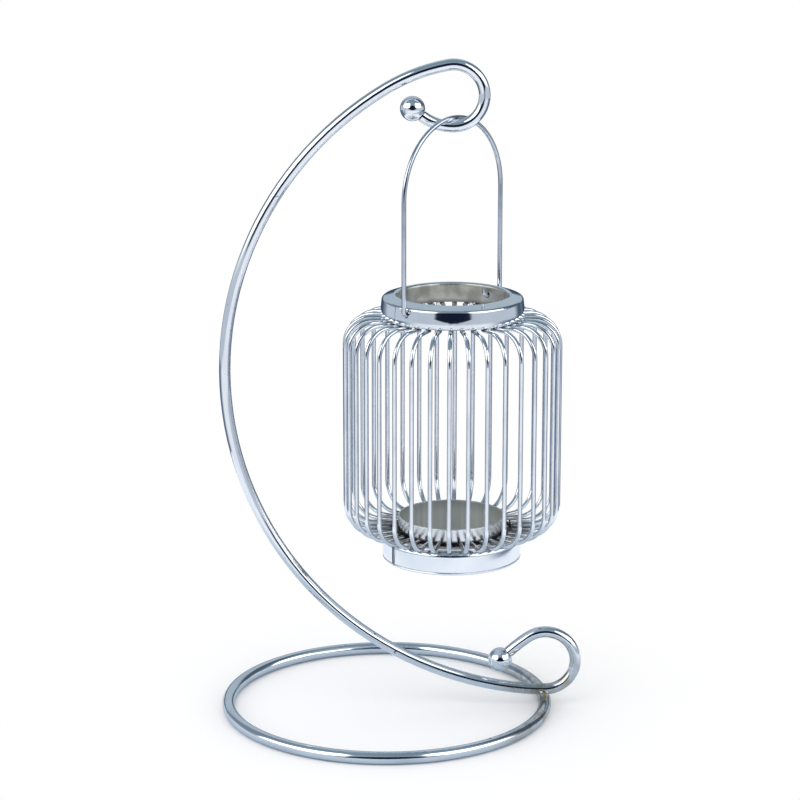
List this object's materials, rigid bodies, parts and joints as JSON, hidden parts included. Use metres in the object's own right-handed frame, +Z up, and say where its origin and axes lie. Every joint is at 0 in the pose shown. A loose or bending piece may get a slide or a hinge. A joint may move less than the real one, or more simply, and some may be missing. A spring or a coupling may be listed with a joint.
{
  "type": "hanging tealight lantern on a crescent stand",
  "caption": "Wire-cage tealight lantern that hangs by a bail from the curled end of a crescent-shaped rod stand on a ring base.",
  "frame": {"origin": "centre of the base ring, on the surface that the ring rests on", "axes": "+Z up; the arm lies in the plane Y = 0 and the crescent opens towards +X, where the lantern hangs"},
  "size_m": [0.1512, 0.1388, 0.2741],
  "materials": {
    "plated_rod": "bright nickel-chrome plating on bent rod and drilled balls, mirror gloss with faint drawing lines",
    "plated_wire": "bright plating on thin drawn wire, mirror gloss",
    "plated_sheet": "bright plating on pressed and rolled sheet, satin and warmer on the collar's inner wall",
    "cup_sheet": "plated deep-drawn sheet, bright outside and satin grey inside",
    "braze": "small dull brass-coloured brazing beads"
  },
  "bodies": {
    "stand": {"base_ring": "plated_rod", "crescent_arm": "plated_rod", "top_ball": "plated_rod", "low_ball": "plated_rod", "braze_beads": "braze"},
    "bail": {"bail": "plated_wire"},
    "lantern": {"collar": "plated_sheet", "foot_band": "plated_sheet", "foot_disc": "plated_sheet", "candle_cup": "cup_sheet", "cage_wire_01": "plated_wire", "cage_wire_02": "plated_wire", "cage_wire_03": "plated_wire", "cage_wire_04": "plated_wire", "cage_wire_05": "plated_wire", "cage_wire_06": "plated_wire", "cage_wire_07": "plated_wire", "cage_wire_08": "plated_wire", "cage_wire_09": "plated_wire", "cage_wire_10": "plated_wire", "cage_wire_11": "plated_wire", "cage_wire_12": "plated_wire", "cage_wire_13": "plated_wire", "cage_wire_14": "plated_wire", "cage_wire_15": "plated_wire", "cage_wire_16": "plated_wire", "cage_wire_17": "plated_wire", "cage_wire_18": "plated_wire", "cage_wire_19": "plated_wire", "cage_wire_20": "plated_wire", "cage_wire_21": "plated_wire", "cage_wire_22": "plated_wire", "cage_wire_23": "plated_wire", "cage_wire_24": "plated_wire", "cage_wire_25": "plated_wire", "cage_wire_26": "plated_wire", "cage_wire_27": "plated_wire", "cage_wire_28": "plated_wire", "cage_wire_29": "plated_wire", "cage_wire_30": "plated_wire", "cage_wire_31": "plated_wire", "cage_wire_32": "plated_wire", "cage_wire_33": "plated_wire", "cage_wire_34": "plated_wire", "cage_wire_35": "plated_wire", "cage_wire_36": "plated_wire"}
  },
  "joints": [
    {"name": "bail_swing", "type": "hinge", "parent": "stand", "child": "bail", "pos_m": [0.02708, 0, 0.24681], "axis": [1, 0, 0], "range_deg": [-60, 60]},
    {"name": "lantern_tilt", "type": "hinge", "parent": "bail", "child": "lantern", "pos_m": [0.02708, 0, 0.17406], "axis": [0.6494, 0.7604, 0], "range_deg": [-90, 90]}
  ]
}
